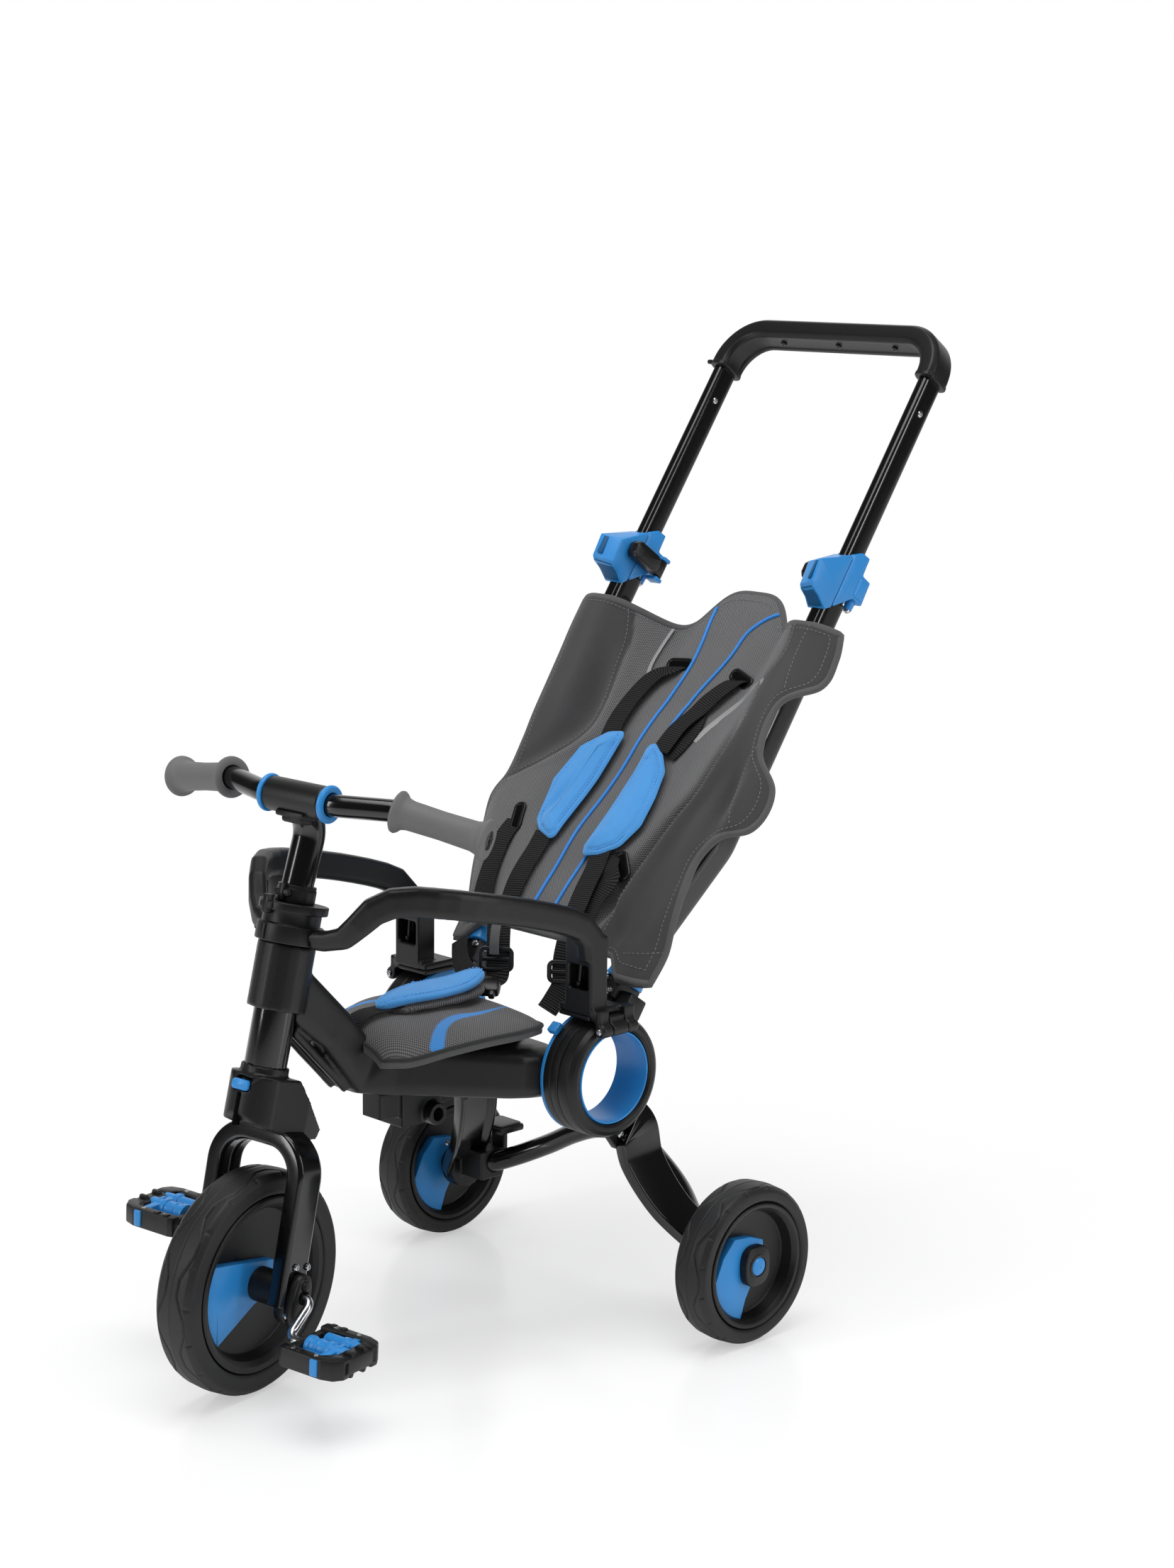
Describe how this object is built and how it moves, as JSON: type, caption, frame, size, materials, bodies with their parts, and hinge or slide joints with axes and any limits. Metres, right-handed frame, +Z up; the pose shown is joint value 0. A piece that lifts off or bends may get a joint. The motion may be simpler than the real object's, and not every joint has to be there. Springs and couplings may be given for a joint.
{
  "type": "toddler push tricycle",
  "caption": "Folding push tricycle for a toddler: padded seat with a sling backrest and harness pads, swing-out safety arms, front pedals, steering column and an adjustable rear push handle.",
  "frame": {"origin": "on the ground, under the middle of the bounding box", "axes": "+Z up, the front of the tricycle towards -Y, the rider's left towards +X"},
  "size_m": [0.5, 0.9528, 1.0051],
  "materials": {
    "black_plastic": "fine moulded texture",
    "gloss_steel": "gloss black powder coat",
    "blue_plastic": "satin moulded",
    "tyre_rubber": "matt",
    "grip_rubber": "matt",
    "silver_steel": "bright zinc plate",
    "grey_fabric": "woven and mesh",
    "blue_fabric": "soft woven"
  },
  "bodies": {
    "frame": {"main_beam": "black_plastic", "head_collar": "black_plastic", "footrest_block": "black_plastic", "left_hinge_core": "blue_plastic", "right_hinge_core": "blue_plastic", "left_end_rim": "black_plastic", "right_end_rim": "black_plastic", "left_arm_base": "black_plastic", "right_arm_base": "black_plastic", "seat_cushion": "grey_fabric", "crotch_pad": "blue_fabric"},
    "left_safety_arm": {"left_safety_arm": "black_plastic"},
    "right_safety_arm": {"right_safety_arm": "black_plastic"},
    "left_fold_latch": {"left_fold_latch": "blue_plastic"},
    "right_fold_latch": {"right_fold_latch": "blue_plastic"},
    "steering": {"steering_tube": "gloss_steel", "stem": "gloss_steel", "handlebar_clamp": "black_plastic", "handlebar": "gloss_steel", "left_grip": "grip_rubber", "right_grip": "grip_rubber", "left_clamp_ring": "blue_plastic", "right_clamp_ring": "blue_plastic", "fork_crown": "black_plastic", "fork": "gloss_steel", "left_axle_cap": "black_plastic", "right_axle_cap": "black_plastic"},
    "crown_button": {"crown_button": "blue_plastic"},
    "front_wheel": {"front_tyre": "tyre_rubber", "front_rim": "black_plastic"},
    "crank": {"crank": "silver_steel"},
    "left_pedal": {"left_pedal": "black_plastic"},
    "right_pedal": {"right_pedal": "black_plastic"},
    "rear_frame": {"left_leg_band": "black_plastic", "right_leg_band": "black_plastic", "left_rear_leg": "gloss_steel", "right_rear_leg": "gloss_steel", "left_axle_bracket": "black_plastic", "right_axle_bracket": "black_plastic", "rear_arch_tube": "gloss_steel"},
    "left_rear_wheel": {"left_rear_tyre": "tyre_rubber", "left_rear_rim": "black_plastic"},
    "right_rear_wheel": {"right_rear_tyre": "tyre_rubber", "right_rear_rim": "black_plastic"},
    "left_hub_button": {"left_hub_button": "blue_plastic"},
    "right_hub_button": {"right_hub_button": "blue_plastic"},
    "foot_brake": {"brake_pedal": "black_plastic"},
    "backrest": {"left_back_band": "black_plastic", "right_back_band": "black_plastic", "left_back_tube": "gloss_steel", "right_back_tube": "gloss_steel", "left_clamp_collar": "blue_plastic", "right_clamp_collar": "blue_plastic", "backrest_cover": "grey_fabric", "left_shoulder_pad": "blue_fabric", "right_shoulder_pad": "blue_fabric"},
    "left_cam_lever": {"left_cam_lever": "black_plastic"},
    "right_cam_lever": {"right_cam_lever": "black_plastic"},
    "handle": {"push_handle": "gloss_steel", "handle_grip": "black_plastic"}
  },
  "joints": [
    {"name": "left_arm_swing", "type": "hinge", "parent": "frame", "child": "left_safety_arm", "pos_m": [0.1573, -0.03328, 0.332], "axis": [0, 1, 0], "range_deg": [0, 90]},
    {"name": "right_arm_swing", "type": "hinge", "parent": "frame", "child": "right_safety_arm", "pos_m": [-0.1573, -0.03328, 0.332], "axis": [0, -1, 0], "range_deg": [0, 90]},
    {"name": "left_latch_press", "type": "slide", "parent": "frame", "child": "left_fold_latch", "axis": [-1, 0, 0], "range_m": [0, 0.006], "stiffness_N_per_m": 300, "springref_m": -0.002},
    {"name": "right_latch_press", "type": "slide", "parent": "frame", "child": "right_fold_latch", "axis": [1, 0, 0], "range_m": [0, 0.006], "stiffness_N_per_m": 300, "springref_m": -0.002},
    {"name": "steering_turn", "type": "hinge", "parent": "frame", "child": "steering", "pos_m": [0, -0.34728, 0.32], "axis": [0, 0.2334, 0.9724], "range_deg": [-56, 34]},
    {"name": "crown_button_press", "type": "slide", "parent": "steering", "child": "crown_button", "axis": [-0.1908, 0.9545, -0.2292], "range_m": [0, 0.004], "stiffness_N_per_m": 300, "springref_m": -0.002},
    {"name": "front_wheel_spin", "type": "hinge", "parent": "steering", "child": "front_wheel", "pos_m": [-0.00611, -0.36524, 0.11064], "axis": [0.9816, 0.1855, -0.0445], "continuous": true},
    {"name": "crank_spin", "type": "hinge", "parent": "steering", "child": "crank", "pos_m": [-0.00611, -0.36524, 0.11064], "axis": [0.9816, 0.1855, -0.0445], "continuous": true},
    {"name": "left_pedal_spin", "type": "hinge", "parent": "crank", "child": "left_pedal", "pos_m": [0.1296, -0.37427, 0.07784], "axis": [0.9816, 0.1855, -0.0445], "continuous": true},
    {"name": "right_pedal_spin", "type": "hinge", "parent": "crank", "child": "right_pedal", "pos_m": [-0.14181, -0.3562, 0.14344], "axis": [0.9816, 0.1855, -0.0445], "continuous": true},
    {"name": "rear_frame_fold", "type": "hinge", "parent": "frame", "child": "rear_frame", "pos_m": [0, -0.02628, 0.278], "axis": [-1, 0, 0], "range_deg": [0, 90]},
    {"name": "left_rear_wheel_spin", "type": "hinge", "parent": "rear_frame", "child": "left_rear_wheel", "pos_m": [0.227, 0.08042, 0.0824], "axis": [1, 0, 0], "continuous": true},
    {"name": "right_rear_wheel_spin", "type": "hinge", "parent": "rear_frame", "child": "right_rear_wheel", "pos_m": [-0.227, 0.08042, 0.0824], "axis": [1, 0, 0], "continuous": true},
    {"name": "left_hub_button_press", "type": "slide", "parent": "left_rear_wheel", "child": "left_hub_button", "axis": [-1, 0, 0], "range_m": [0, 0.003], "stiffness_N_per_m": 300, "springref_m": -0.002},
    {"name": "right_hub_button_press", "type": "slide", "parent": "right_rear_wheel", "child": "right_hub_button", "axis": [1, 0, 0], "range_m": [0, 0.003], "stiffness_N_per_m": 300, "springref_m": -0.002},
    {"name": "foot_brake_press", "type": "hinge", "parent": "rear_frame", "child": "foot_brake", "pos_m": [-0.165, 0.10722, 0.096], "axis": [-1, 0, 0], "range_deg": [0, 15]},
    {"name": "backrest_fold", "type": "hinge", "parent": "frame", "child": "backrest", "pos_m": [0, -0.02628, 0.278], "axis": [1, 0, 0], "range_deg": [-20, 12]},
    {"name": "handle_slide", "type": "slide", "parent": "backrest", "child": "handle", "axis": [0, 0.5635, 0.8261], "range_m": [-0.17, 0.03]},
    {"name": "left_cam_release", "type": "hinge", "parent": "backrest", "child": "left_cam_lever", "pos_m": [0.1262, 0.30471, 0.7295], "axis": [0, -0.5635, -0.8261], "range_deg": [0, 100]},
    {"name": "right_cam_release", "type": "hinge", "parent": "backrest", "child": "right_cam_lever", "pos_m": [-0.1262, 0.30471, 0.7295], "axis": [0, 0.5635, 0.8261], "range_deg": [0, 100]}
  ],
  "couplings": [
    {"joint": "crank_spin", "follows": "front_wheel_spin", "ratio": 1}
  ]
}
